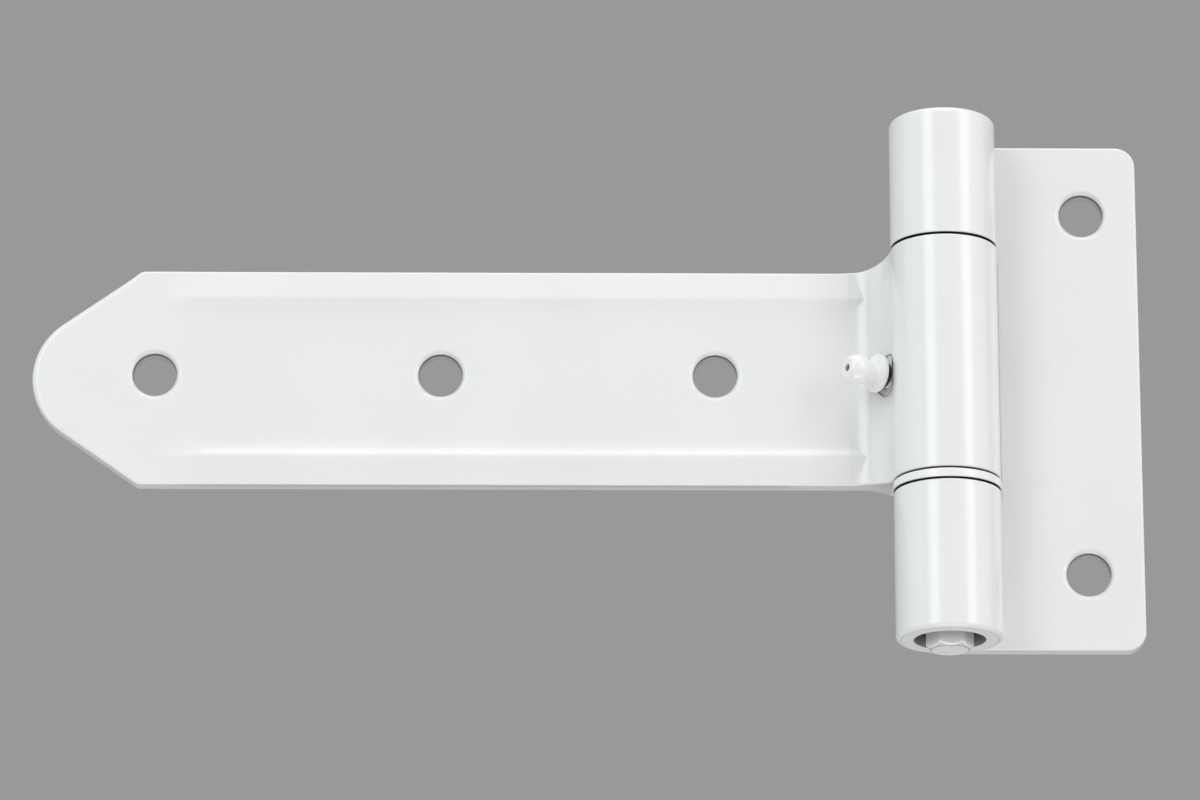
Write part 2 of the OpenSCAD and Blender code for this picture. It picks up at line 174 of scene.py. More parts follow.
# Paths: corners with rounding radii become points with outward normals, step degrees apart at most
def path(corners, radii, step, closed=False, side=1):
    corners = [np.array(c, float) for c in corners]
    count = len(corners)
    points, normals = [], []
    for i, (corner, radius) in enumerate(zip(corners, radii)):
        before = corner - corners[i - 1] if closed or i > 0 else None
        after = corners[(i + 1) % count] - corner if closed or i < count - 1 else None
        if before is None or after is None:
            t = after if before is None else before
            t = t / np.linalg.norm(t)
            points.append(corner)
            normals.append(side * np.array([t[1], -t[0]]))
            continue
        a, b = before / np.linalg.norm(before), after / np.linalg.norm(after)
        bend = math.atan2(a[0] * b[1] - a[1] * b[0], a @ b)
        reach = radius * math.tan(abs(bend) / 2)
        start = corner - a * reach
        steps = max(1, math.ceil(abs(math.degrees(bend)) / step))
        turn_side = 1 if bend > 0 else -1
        centre = start + turn_side * radius * np.array([-a[1], a[0]])
        for k in range(steps + 1):
            turn = bend * k / steps
            c, s = math.cos(turn), math.sin(turn)
            t = np.array([a[0] * c - a[1] * s, a[0] * s + a[1] * c])
            right = np.array([t[1], -t[0]])
            points.append(centre + turn_side * radius * right)
            normals.append(side * right)
    return np.array(points), np.array(normals)


def subdivide(points, normals, longest, closed=False):
    out_p, out_n = [], []
    count = len(points)
    for i in range(count if closed else count - 1):
        a, b = points[i], points[(i + 1) % count]
        na, nb = normals[i], normals[(i + 1) % count]
        steps = max(1, math.ceil(np.linalg.norm(b - a) / longest))
        for k in range(steps):
            w = k / steps
            out_p.append(a * (1 - w) + b * w)
            n = na * (1 - w) + nb * w
            out_n.append(n / np.linalg.norm(n))
    if not closed:
        out_p.append(points[-1])
        out_n.append(normals[-1])
    return np.array(out_p), np.array(out_n)


# Flat triangulation of an area with holes, with the given points inside it
def triangulate(loops, inside=()):
    points, edges = [], []
    for loop in loops:
        first = len(points)
        points += [Vector((float(p[0]), float(p[1]))) for p in loop]
        count = len(loop)
        edges += [(first + k, first + (k + 1) % count) for k in range(count)]
    points += [Vector((float(p[0]), float(p[1]))) for p in inside]
    verts, _, tris, _, _, _ = delaunay_2d_cdt(points, edges, [], 0, 1e-5)
    flat = np.array([[v.x, v.y] for v in verts])
    tris = np.array([list(t) for t in tris])
    middle = flat[tris].mean(1)
    keep = within(middle, loops[0])
    for hole in loops[1:]:
        keep &= ~within(middle, hole)
    return flat, tris[keep]


def within(points, loop):
    loop = np.asarray(loop)
    hit = np.zeros(len(points), bool)
    a, b = loop, np.roll(loop, -1, 0)
    for (ax, ay), (bx, by) in zip(a, b):
        crosses = (ay > points[:, 1]) != (by > points[:, 1])
        if ay != by:
            hit ^= crosses & (points[:, 0] < (bx - ax) * (points[:, 1] - ay) / (by - ay) + ax)
    return hit


# Body of revolution: the profile is (distance from the axis, place along it)
def revolve(shell, profile, normals, steps, foot_point=(0, 0, 0), axis=(0, 0, 1), side=(1, 0, 0),
            wear=0.0, part=None):
    axis, side, foot_point = np.array(axis, float), np.array(side, float), np.array(foot_point, float)
    other = np.cross(axis, side)
    turn = np.linspace(0, 2 * math.pi, steps, endpoint=False) if part is None else np.linspace(*part, steps)
    ray = np.cos(turn)[:, None] * side + np.sin(turn)[:, None] * other
    r, z = profile[:, 0], profile[:, 1]
    points = foot_point + r[:, None, None] * ray[None] + z[:, None, None] * axis
    out = normals[:, 0][:, None, None] * ray[None] + normals[:, 1][:, None, None] * axis
    shell.grid(points, out, wrap=part is None, wear=wear)


# Painted shade deep in a joint: it reaches further out on the two sides than at the front
def joint_shade(p):
    side_depth, front_extra, fade = 0.03, 0.13, 0.18
    turn = np.linspace(0, 2 * math.pi, ring_steps, endpoint=False)
    start = barrel_r - side_depth - front_extra * np.clip(-np.sin(turn), 0, 1) ** 2
    return smooth((start[None, :] - p[:, :1]) / fade)


# Knuckle ring: its outer wall is closed, or goes only round the given part of the circle.
# joints lists the joints beside it with the strength of their painted shade, seam is the painted shade where
# the frame leaf's sheet meets the wall at azimuth 0, and line is the dark line at the lower rounding's inner
# end.
def knuckle(shell, low, high, low_edge, high_edge, joints, seam, wall=None, line=0.0):
    line_r = barrel_r - low_edge - 0.02
    line_half, seam_spread = 0.16, 60
    corners = [
        (barrel_r, high - high_edge - 1), (barrel_r, high), (bore_r, high), (bore_r, low + bore_shade_reach),
        (bore_r, low), (line_r - 0.3, low), (line_r, low), (barrel_r, low), (barrel_r, low + low_edge + 1)
    ]
    p, n = path(corners, [0, high_edge, bore_bite, 0, bore_bite, 0, 0, low_edge, 0], side=1, step=9)
    p, n = p[1:-1], n[1:-1]
    # Painted shade inside the bore, half as dark at its lower mouth, and the dark line at the lower
    # rounding's inner end
    inside = smooth((bore_r + 0.12 - p[:, 0]) / 0.1) * (0.5 + 0.5 * smooth((p[:, 1] - low) / bore_shade_reach))
    lined = line * smooth((line_half - np.hypot(p[:, 0] - line_r, p[:, 1] - low)) / line_half)
    darkened = np.repeat(np.maximum(inside, lined)[:, None], ring_steps, axis=1)
    for z, strength in joints:
        darkened = np.maximum(darkened, strength * joint_shade(p) * (np.abs(p[:, 1:] - z) < 1.0))
    revolve(shell, p, n, steps=ring_steps, wear=darkened)
    wall_p = np.array([[barrel_r, high - high_edge], [barrel_r, low + low_edge]])
    wall_n = np.array([[1.0, 0], [1.0, 0]])
    if wall is None:
        steps, turn = ring_steps, np.linspace(0, 2 * math.pi, ring_steps, endpoint=False)
    else:
        steps, turn = part_steps, np.linspace(*wall, part_steps)
    # Painted shade along the seam, darkest at azimuth 0
    from_seam = (np.degrees(turn) + 180) % 360 - 180
    painted_shade = seam * np.exp(-from_seam ** 2 / seam_spread)
    revolve(shell, wall_p, wall_n, steps=steps, part=wall, wear=np.tile(painted_shade, (2, 1)))


# Rounding of a sheet's rim in seven rows: inset, depth, and the parts of the normal that face out of the
# sheet's face and of its rim
def rounding(radius):
    turn = np.linspace(0, math.pi / 2, 7)
    return [(radius * (1 - math.sin(a)), radius * (1 - math.cos(a)), math.cos(a), math.sin(a)) for a in turn]


# Punched hole: rounded front edge and a straight wall to the back; both mouths are returned
def punched_hole(shell, hole):
    corners = [
        (hole_r + 2, 0), (hole_r, 0), (hole_r, hole_shade_end), (hole_r, hole_shade_end + hole_shade_fade),
        (hole_r, sheet_back - sheet_front)
    ]
    p, n = path(corners, [0, hole_edge, 0, 0, 0], side=-1, step=9)
    p, n = p[1:], n[1:]
    turn = np.linspace(0, 2 * math.pi, hole_steps, endpoint=False)
    ray = np.stack([np.cos(turn), np.sin(turn)], 1)
    rows, row_n = [], []
    for (r, y), (nr, ny) in zip(p, n):
        rows.append(np.stack([
            hole[0] + r * ray[:, 0], np.full(hole_steps, sheet_front + y), hole[1] + r * ray[:, 1]
        ], 1))
        row_n.append(np.stack([nr * ray[:, 0], np.full(hole_steps, ny), nr * ray[:, 1]], 1))
    # Painted shade: the wall is darkest at the top and on the left, and the rounding is darker at its top
    # and at its foot
    depth = p[:, 1:]
    top_shade, foot_shade = 0.16, 0.12
    darkened = smooth((depth - hole_shade_start) / (hole_shade_full - hole_shade_start))
    darkened = darkened * (1 - 0.5 * smooth((depth - hole_shade_end) / hole_shade_fade))
    darkened = darkened * smooth((ray[:, 1] - 0.3 * ray[:, 0] + 0.9) / 0.9)
    shade = top_shade * np.clip(ray[:, 1] + 0.3 * ray[:, 0], 0, 1) * smooth(depth / 0.3)
    shade = shade + foot_shade * np.clip(-ray[:, 1], 0, 1) * smooth(depth / 0.12)
    shell.grid(np.array(rows), np.array(row_n), wrap=True, wear=np.maximum(darkened, shade))
    return [np.array(hole) + r * ray for r in (hole_r + hole_edge, hole_r)]


# The cut edge of a sheet is a little darker than its faces: one value for each row of its two roundings
rim_wear = [0, 0, 0, 0, 0.06, 0.12, 0.17, 0.17, 0.12, 0.06, 0, 0, 0, 0]


# Flat plate with rounded edges between y = sheet_front and sheet_back
def plate(shell, outline, outline_n, holes):
    rows, row_n = [], []
    for inset, depth, face, out in rounding(edge_front):
        flat = outline - outline_n * inset
        rows.append(np.stack([flat[:, 0], np.full(len(flat), sheet_front + depth), flat[:, 1]], 1))
        row_n.append(np.stack([outline_n[:, 0] * out, np.full(len(flat), -face), outline_n[:, 1] * out], 1))
    for inset, depth, face, out in rounding(edge_back)[::-1]:
        flat = outline - outline_n * inset
        rows.append(np.stack([flat[:, 0], np.full(len(flat), sheet_back - depth), flat[:, 1]], 1))
        row_n.append(np.stack([outline_n[:, 0] * out, np.full(len(flat), face), outline_n[:, 1] * out], 1))
    shell.grid(np.array(rows), np.array(row_n), wrap=True, wear=rim_wear)
    mouths = [punched_hole(shell, hole) for hole in holes]
    for side, radius, y, facing in ((0, edge_front, sheet_front, -1), (1, edge_back, sheet_back, 1)):
        flat, tris = triangulate([outline - outline_n * radius] + [pair[side] for pair in mouths])
        points = np.stack([flat[:, 0], np.full(len(flat), y), flat[:, 1]], 1)
        shell.add(points, np.tile([0, facing, 0], (len(flat), 1)), tris.tolist())


# Materials: short ways to make the nodes that they share
def rgb(r, g, b):
    return (r, g, b, 1.0)


def node_material(name):
    material = bpy.data.materials.new(name)
    material.use_nodes = True
    nodes, links = material.node_tree.nodes, material.node_tree.links
    return material, nodes, links, nodes["Principled BSDF"]


def noise(nodes, links, vector, scale, detail, rough=0.5):
    tex = nodes.new("ShaderNodeTexNoise")
    tex.inputs["Scale"].default_value = scale
    tex.inputs["Detail"].default_value = detail
    tex.inputs["Roughness"].default_value = rough
    links.new(vector, tex.inputs["Vector"])
    return tex.outputs["Fac"]


def ranged(nodes, links, value, low, high, to_low, to_high):
    node = nodes.new("ShaderNodeMapRange")
    node.inputs["From Min"].default_value = low
    node.inputs["From Max"].default_value = high
    node.inputs["To Min"].default_value = to_low
    node.inputs["To Max"].default_value = to_high
    links.new(value, node.inputs["Value"])
    return node.outputs["Result"]


def mixed(nodes, links, factor, a, b):
    node = nodes.new("ShaderNodeMix")
    node.data_type = "RGBA"
    links.new(factor, node.inputs["Factor"])
    for socket, value in ((node.inputs["A"], a), (node.inputs["B"], b)):
        if isinstance(value, tuple):
            socket.default_value = value
        else:
            links.new(value, socket)
    return node.outputs["Result"]


def bumped(nodes, links, layers):
    normal = None
    for height, distance in layers:
        bump = nodes.new("ShaderNodeBump")
        bump.inputs["Strength"].default_value = 1.0
        bump.inputs["Distance"].default_value = distance
        links.new(height, bump.inputs["Height"])
        if normal is not None:
            links.new(normal, bump.inputs["Normal"])
        normal = bump.outputs["Normal"]
    return normal


# White coat: slight clouds in its tone, painted shade in narrow corners, a near-black tone where the mesh's
# per-point darkening asks for it, and an orange peel of two sizes under the gloss
def white_paint(name, tint, roughness):
    material, nodes, links, shader = node_material(name)
    place = nodes.new("ShaderNodeTexCoord").outputs["Object"]
    clouds = noise(nodes, links, place, scale=28.0, detail=3.0)
    fine = noise(nodes, links, place, scale=420.0, detail=3.0)
    shade = tuple(c * 0.975 for c in tint)
    colour = mixed(nodes, links, ranged(nodes, links, clouds, 0.35, 0.65, 0.0, 1.0), rgb(*shade), rgb(*tint))
    # Painted shade: ambient occlusion darkens narrow corners towards dark grey
    corner = nodes.new("ShaderNodeAmbientOcclusion")
    corner.samples = 8
    corner.inputs["Distance"].default_value = 0.0012
    painted_shade = ranged(nodes, links, corner.outputs["AO"], 0.15, 0.6, 0.7, 0.0)
    colour = mixed(nodes, links, painted_shade, colour, rgb(0.16, 0.165, 0.17))
    # The mesh's per-point darkening mixes in a near-black tone: painted shade in holes, bores, joints, seams
    # and under the nipple's collar, and slightly darker cut edges
    darkened = nodes.new("ShaderNodeAttribute")
    darkened.attribute_name = "wear"
    darkest_tone = mixed(nodes, links, fine, rgb(0.012, 0.012, 0.012), rgb(0.05, 0.048, 0.045))
    colour = mixed(nodes, links, darkened.outputs["Fac"], colour, darkest_tone)
    links.new(colour, shader.inputs["Base Color"])
    gloss = ranged(nodes, links, fine, 0.3, 0.7, roughness - 0.03, roughness + 0.03)
    links.new(gloss, shader.inputs["Roughness"])
    peel = noise(nodes, links, place, scale=900.0, detail=2.0, rough=0.4)
    flow = noise(nodes, links, place, scale=160.0, detail=1.0, rough=0.3)
    skin_normal = bumped(nodes, links, [(flow, 0.00003), (peel, 0.000006)])
    links.new(skin_normal, shader.inputs["Normal"])
    links.new(skin_normal, shader.inputs["Coat Normal"])
    shader.inputs["IOR"].default_value = 1.5
    shader.inputs["Coat Weight"].default_value = 0.7
    shader.inputs["Coat Roughness"].default_value = 0.13
    return material


# Turned metal: fine rings across the axis and soft patches in its tone
def turned_metal(name, colour, roughness, lines):
    material, nodes, links, shader = node_material(name)
    place = nodes.new("ShaderNodeTexCoord").outputs["Object"]
    stretch = nodes.new("ShaderNodeMapping")
    stretch.inputs["Scale"].default_value = (0.05, 0.05, 1.0)
    links.new(place, stretch.inputs["Vector"])
    rings = noise(nodes, links, stretch.outputs["Vector"], scale=lines, detail=3.0)
    patches = noise(nodes, links, place, scale=220.0, detail=4.0)
    dark = tuple(c * 0.8 for c in colour)
    links.new(mixed(nodes, links, patches, rgb(*dark), rgb(*colour)), shader.inputs["Base Color"])
    gloss = ranged(nodes, links, rings, 0.3, 0.7, roughness - 0.08, roughness + 0.08)
    links.new(gloss, shader.inputs["Roughness"])
    links.new(bumped(nodes, links, [(rings, 0.00001)]), shader.inputs["Normal"])
    shader.inputs["Metallic"].default_value = 1.0
    return material


paint = white_paint("white_coat", tint=(0.832, 0.832, 0.824), roughness=0.32)
# The fixings' coat is the same white in a lighter tone: painted light on the screw head, the thrust washer
# and the nipple
lightened_paint = white_paint("white_coat_lightened", tint=(0.87, 0.87, 0.86), roughness=0.3)
steel = turned_metal("turned_steel", (0.56, 0.57, 0.58), roughness=0.32, lines=4000.0)
bronze = turned_metal("sintered_bronze", (0.55, 0.36, 0.16), roughness=0.42, lines=3000.0)


# Corner beside the barrel, filled by the paint between the sheet's front and the knuckle's wall
def corner_fill(shell, low, high):
    fill_r = 0.5
    cy = sheet_front - fill_r
    cx = math.sqrt((barrel_r + fill_r) ** 2 - cy ** 2)
    last = math.degrees(math.atan2(-cy, -cx)) % 360
    turn = np.radians(np.linspace(90, last, 9))
    ray = np.stack([np.cos(turn), np.sin(turn)], 1)
    arc = np.array([cx, cy]) + fill_r * ray
    points = np.array([[[x, y, z] for x, y in arc] for z in (low, high)])
    normals = np.array([[[-x, -y, 0] for x, y in ray] for _ in (low, high)])
    shell.grid(points, normals)
    for z, up in ((low, -1), (high, 1)):
        ring = [[x, y, z] for x, y in arc] + [[cx - fill_r - 1.5, sheet_front + 1, z]]
        shell.add(ring, [[0, 0, up]] * len(ring), [list(range(len(ring)))])


# Frame leaf: plate with the notch, two knuckles and the filled corners beside them
frame_leaf = Shell()
outline = [
    (0, frame_top), (frame_edge, frame_top), (frame_edge, skin), (0, skin),
    (0, lower_top - skin), (notch_x, lower_top - skin), (notch_x, upper_low + skin), (0, upper_low + skin)
]
corner_radii = [sharp_r, frame_corner, frame_corner, sharp_r, sharp_r, notch_r, notch_r, sharp_r]
plate_p, plate_n = path(outline, corner_radii, closed=True, side=-1, step=7.5)
plate(frame_leaf, plate_p, plate_n, frame_holes)
knuckle(frame_leaf, 0.0, lower_top, foot_edge, joint_edge, [(lower_top, 1.0)], seam=0.75, line=0.35)
knuckle(frame_leaf, upper_low, barrel_top, joint_edge, crown_edge, [(upper_low, 1.0)], seam=0.75)
corner_fill(frame_leaf, 0.7, lower_top - 0.35)
corner_fill(frame_leaf, upper_low + 0.35, frame_top - 0.6)
frame_leaf.piece("frame_leaf_painted", "frame", "white_paint", paint, "frame_leaf")

# Strap leaf: its front is unrolled along u, which runs flat and then round the hollow sweep
sweep_y = sheet_front - sweep_r
sweep_x = -math.sqrt((barrel_r + sweep_r) ** 2 - sweep_y ** 2)
touch_turn = math.atan2(-sweep_y, -sweep_x)
sweep_end = sweep_x + sweep_r * (math.pi / 2 - touch_turn)
touch_x = sweep_x + sweep_r * math.cos(touch_turn)

# The bend grows over a few millimetres at its start instead of all at once, and so it does at its end
fine_step = 0.02
lead_in = 12
run_out = 16
start_blur = 2.9
end_blur = 0.4
bell_reach = 3.2
u_fine = np.arange(sweep_x - lead_in, sweep_end + run_out, fine_step)
heading = np.clip(math.pi / 2 - (u_fine - sweep_x) / sweep_r, touch_turn, math.pi / 2)
heading = heading + np.maximum(u_fine - sweep_end, 0) / barrel_r


def blurred(values, width):
    reach = int(bell_reach * width / fine_step)
    bell = np.exp(-0.5 * (np.arange(-reach, reach + 1) * fine_step / width) ** 2)
    return np.convolve(np.pad(values, reach, mode="edge"), bell / bell.sum(), mode="valid")


late = smooth((u_fine - sweep_x - 2) / 5)
heading = blurred(heading, start_blur) * (1 - late) + blurred(heading, end_blur) * late
x_fine = sweep_x - lead_in + np.concatenate([[0], np.cumsum(np.sin(heading))[:-1] * fine_step])
y_fine = sheet_front - np.concatenate([[0], np.cumsum(np.cos(heading))[:-1] * fine_step])

# What the blur shifted is spread over the sweep, so that its end lies on the knuckle
drift = np.clip((u_fine - sweep_x) / (sweep_end - sweep_x), 0, 1)
near_end = np.searchsorted(u_fine, sweep_end + 6)
true_turn = math.pi + touch_turn + (u_fine[near_end] - sweep_end) / barrel_r
x_fine += drift * (barrel_r * math.cos(true_turn) - x_fine[near_end])
y_fine += drift * (barrel_r * math.sin(true_turn) - y_fine[near_end])


# The softened line of the front in plan, and its outward normal; it ends on the knuckle's true circle
def front_line(u):
    past = np.maximum(u - sweep_end, 0)
    around = math.pi + touch_turn + past / barrel_r
    share = smooth((past - 3) / 3)
    x = np.where(u < u_fine[0], u, np.interp(u, u_fine, x_fine))
    y = np.where(u < u_fine[0], sheet_front, np.interp(u, u_fine, y_fine))
    x = x * (1 - share) + share * barrel_r * np.cos(around)
    y = y * (1 - share) + share * barrel_r * np.sin(around)
    lead = np.interp(u, u_fine, heading)
    return x, y, -np.cos(lead), -np.sin(lead)


# Section across a ridge, softened the way pressed and painted sheet is
flank_r = (ridge_flank ** 2 + ridge_h ** 2) / (2 * ridge_h)
reach = np.linspace(0, strap_half + 6, 1600)
raw = np.where(
    reach < ridge_z,
    flank_r - np.sqrt(np.maximum(flank_r ** 2 - np.maximum(reach - ridge_z + ridge_flank, 0) ** 2, 0)),
    ridge_h * (strap_half - reach) / (strap_half - ridge_z)
)
ridge_blur = 0.4
half_window = 60
fold_blend = 0.6
fold_reach = 14
back_fade = 8.0
spread = ridge_blur / (reach[1] - reach[0])
window = np.exp(-0.5 * (np.arange(-half_window, half_window + 1) / spread) ** 2)
soft = np.convolve(np.pad(raw, half_window, mode="edge"), window / window.sum(), mode="valid")
soft[:100] = 0


def ridge(x, z):
    start = strap_nose + ridge_start
    return np.interp(np.abs(z - strap_mid), reach, soft) * smooth((x - start) / ridge_fade)


# At the sweep the ridge runs out where the swept surface has risen past it, with a soft fold between
def front_surface(u, z):
    x, y, nx, ny = front_line(u)
    swept = np.where(u < sweep_x, 0, sheet_front - y)
    over = ridge(x, z) - swept
    folded = 0.5 * (over + np.sqrt(over ** 2 + fold_blend ** 2))
    over = folded - 0.5 * fold_blend * np.exp(-np.abs(over) / fold_blend)
    over = np.where(np.abs(u - sweep_x) < fold_reach, over, ridge(x, z))
    over = np.where(u > sweep_end, 0, over)
    return np.stack([x + nx * over, y + ny * over, z], -1)


def back_surface(x, z):
    return np.stack([x, sheet_back - ridge(x, z) * smooth((sweep_x - x) / back_fade), z], -1)


def surface_normal(surface, a, b, toward):
    h = 0.01
    da = surface(a + h, b) - surface(a - h, b)
    db = surface(a, b + h) - surface(a, b - h)
    n = np.cross(da, db)
    n /= np.linalg.norm(n, axis=-1, keepdims=True)
    return n * np.sign((n * toward).sum(-1, keepdims=True))


# Nipple's axis, and the mouth of the spot face around it where it meets the sweep and the knuckle
nipple_lean = math.radians(58)
nipple_aside = -9.1
nipple_z = 62.5
nipple_axis = np.array([-math.sin(nipple_lean), -math.cos(nipple_lean), 0])
nipple_side = np.array([math.cos(nipple_lean), -math.sin(nipple_lean), 0])
nipple_foot = nipple_aside * nipple_side + np.array([0, 0, nipple_z])
spot_r = 4.9
spot_floor = 9.0
touch_at = np.array([touch_x, -math.sqrt(barrel_r ** 2 - touch_x ** 2)])
touch_side = (touch_at - nipple_foot[:2]) @ nipple_side[:2]


# Where a line meets a circle in plan, at its near or its far side
def on_circle(start, ray, centre, radius, far):
    gap = start - centre
    along, rest = gap @ ray, gap @ gap - radius ** 2
    root = math.sqrt(along ** 2 - rest)
    return start + ray * (-along + (root if far else -root))


def spot_mouth(count=72):
    loop, solid = [], []
    for turn in np.linspace(0, 2 * math.pi, count, endpoint=False):
        aside, z = spot_r * math.cos(turn), nipple_z + spot_r * math.sin(turn)
        start = nipple_foot[:2] + aside * nipple_side[:2]
        if aside > touch_side:
            x, y = on_circle(start, nipple_axis[:2], np.zeros(2), barrel_r, True)
            around = math.atan2(y, x) % (2 * math.pi)
            u = sweep_end + (around - math.pi - touch_turn) * barrel_r
        else:
            x, y = on_circle(start, nipple_axis[:2], np.array([sweep_x, sweep_y]), sweep_r, False)
            u = sweep_x + (math.pi / 2 - math.atan2(y - sweep_y, x - sweep_x)) * sweep_r
        loop.append((u, z))
        solid.append((x, y, z))
    return np.array(loop), np.array(solid)


# Outline of the strap: knuckle end, flare, edge, point, nose and back again
def arc_points(centre, radius, a0, a1, steps, out):
    turn = np.radians(np.linspace(a0, a1, steps + 1))
    ray = np.stack([np.cos(turn), np.sin(turn)], 1)
    return np.array(centre) + radius * ray, ray * out


def flare_points(edge, end, side):
    rise = abs(end - edge)
    run = math.sqrt(flare_r ** 2 - (flare_r - rise) ** 2)
    centre = (-barrel_r - run, edge + side * flare_r)
    lean = math.degrees(math.asin(run / flare_r))
    return arc_points(centre, flare_r, -side * 90, -side * (90 - lean), 14, -1)


nose_at = strap_nose + nose_r
tip_at = strap_nose + tip_len
tip_reach = math.hypot(tip_at - nose_at, strap_half)
nose_lean = math.atan2(strap_half, tip_at - nose_at) + math.acos(nose_r / tip_reach)
apex = nose_at + nose_r / math.cos(nose_lean)
low_flare, low_n = flare_points(strap_mid - strap_half, strap_low_end + skin, -1)
high_flare, high_n = flare_points(strap_mid + strap_half, strap_high_end - skin, 1)
point_p, point_n = path(
    [low_flare[0], (tip_at, strap_mid - strap_half), (apex, strap_mid),
     (tip_at, strap_mid + strap_half), high_flare[0]],
    [0, tip_corner_r, nose_r, tip_corner_r, 0], side=-1, step=5
)
outline_p = np.vstack([low_flare[::-1], point_p[1:-1], high_flare])
outline_n = np.vstack([low_n[::-1], point_n[1:-1], high_n])
outline_p, outline_n = subdivide(outline_p, outline_n, 3.0)


# Place along the unrolled front of a point that lies at x in plan
def unroll(x):
    lead = np.clip((x - sweep_x) / sweep_r, 0, math.cos(touch_turn))
    return np.where(x < sweep_x, x, sweep_x + sweep_r * np.arcsin(lead))


u = unroll(outline_p[:, 0])
z = outline_p[:, 1]
lift = np.where(u > sweep_x, np.cos((u - sweep_x) / sweep_r), 1.0)
nu, nz = outline_n[:, 0] * lift, outline_n[:, 1]
size = np.hypot(nu, nz)
nu, nz = nu / size, nz / size

# The front edge is rounded more round the nose, apart from its lower slope, and less at the knuckle
front_r = np.interp(outline_p[:, 0], [-24, -13], [edge_front, joint_edge])
ground = smooth((outline_n[:, 1] + 0.85) / 0.6) * smooth((tip_at + 2 - outline_p[:, 0]) / 5)
front_r += (edge_nose - edge_front) * ground

strap = Shell()
rows, row_n = [], []
toward_front = np.array([-0.3, -1.0, 0.0])
for inset, depth, face, out in rounding(1.0):
    pu, pz = u - nu * inset * front_r, z - nz * inset * front_r
    n = surface_normal(front_surface, pu, pz, toward_front)
    here = front_surface(pu, pz)
    ahead = front_surface(pu + nu * 0.01, pz + nz * 0.01) - here
    ahead /= np.linalg.norm(ahead, axis=1, keepdims=True)
    rows.append(here - n * (depth * front_r)[:, None])
    row_n.append(n * face + ahead * out)
xb, xn, zn = outline_p[:, 0], outline_n[:, 0], outline_n[:, 1]
for inset, depth, face, out in rounding(edge_back)[::-1]:
    px, pz = xb - xn * inset, z - zn * inset
    here = back_surface(px, pz)
    rows.append(here - np.array([0, depth, 0]))
    row_n.append(np.stack([xn * out, np.full(len(xn), face), zn * out], 1))
strap.grid(np.array(rows), np.array(row_n), wear=rim_wear)

# Ends of the sheet above and below the knuckle, between the ring and the flat back
end_steps = 13
hidden_r = 10.5
for end, up in ((strap_low_end + skin, -1), (strap_high_end - skin, 1)):
    xs = np.linspace(-barrel_r, 0, end_steps)
    inner = np.sqrt(np.maximum(hidden_r ** 2 - xs ** 2, 0))
    end_rows = [np.stack([xs, inner, np.full(end_steps, end)], 1)]
    end_n = [np.tile([0, 0, up], (end_steps, 1))]
    for inset, depth, face, out in rounding(edge_back)[::-1]:
        back_y, edge_z = np.full(end_steps, sheet_back - depth), np.full(end_steps, end - up * inset)
        end_rows.append(np.stack([xs, back_y, edge_z], 1))
        end_n.append(np.tile([0, face, up * out], (end_steps, 1)))
    strap.grid(np.array(end_rows), np.array(end_n))

# Fixing holes, and the spot face with the hole that the nipple's shank fills
mouths = [punched_hole(strap, hole) for hole in strap_holes]
front_holes, back_holes = [pair[0] for pair in mouths], [pair[1] for pair in mouths]
mouth_loop, mouth = spot_mouth()
turn = np.linspace(0, 2 * math.pi, len(mouth), endpoint=False)
ray = np.cos(turn)[:, None] * nipple_side + np.sin(turn)[:, None] * np.array([0, 0, 1.0])
bottom = nipple_foot + spot_floor * nipple_axis
strap.grid(np.array([mouth, bottom + spot_r * ray]), np.array([-ray] * 2), wrap=True)

# Floor of the spot face: a painted shadow of the collar on the side away from the barrel, plain white on the
# barrel's side, above and below
seat = np.array([bottom + r * ray for r in (spot_r, 4.3, 4.0, 2.7)])
toward_barrel = (seat - bottom) @ np.array([-nipple_axis[1], nipple_axis[0], 0])
off_middle = np.abs(seat[..., 2] - nipple_z)
seat_wear = smooth((0.2 - toward_barrel) / 0.5) * smooth((2.9 - off_middle) / 0.7)
strap.grid(seat, np.tile(nipple_axis, (4, len(ray), 1)), wrap=True, wear=seat_wear)

# Front and back faces, with lines of points that follow the ridges and the sweep
ridge_lines = np.concatenate([
    np.linspace(12.6, 17.8, 14), np.linspace(18.0, 19.4, 8), np.linspace(20.0, strap_half + 2.4, 10)
])
middle_lines = np.linspace(-11, 11, 9) + strap_mid
z_lines = np.sort(np.concatenate([strap_mid - ridge_lines, strap_mid + ridge_lines, middle_lines]))


# Crossings of the lines that lie in the area and not too near its borders
def inner_points(u_lines, loops, margin=0.35):
    gu, gz = np.meshgrid(u_lines, z_lines, indexing="ij")
    points = np.stack([gu.ravel(), gz.ravel()], 1)
    keep = within(points, loops[0])
    for hole in loops[1:]:
        keep &= ~within(points, hole)
    points = points[keep]
    for loop in loops:
        loop = np.asarray(loop)
        a, b = loop, np.roll(loop, -1, 0)
        for start, finish in zip(a, b):
            run = finish - start
            t = np.clip(((points - start) @ run) / max(run @ run, 1e-12), 0, 1)
            near = np.linalg.norm(points - (start + t[:, None] * run), axis=1)
            points = points[near > margin]
    return points


# The front face goes on over the knuckle's wall for the length of the ring patch
ring_patch = 10.5
fade_lines = np.linspace(strap_nose + ridge_start - 1, strap_nose + ridge_start + ridge_fade + 1, 18)
long_lines = np.linspace(strap_nose + ridge_start + ridge_fade + 7, sweep_x - 6, 20)
sweep_lines = np.linspace(sweep_x - 4, sweep_end, 40)
under_sweep_lines = np.linspace(sweep_x - 9, sweep_x + 1, 12)
nose_lines = np.linspace(strap_nose + 3, strap_nose + ridge_start - 4, 6)
ring_lines = np.linspace(sweep_end + 0.35, sweep_end + ring_patch - 0.4, 24)

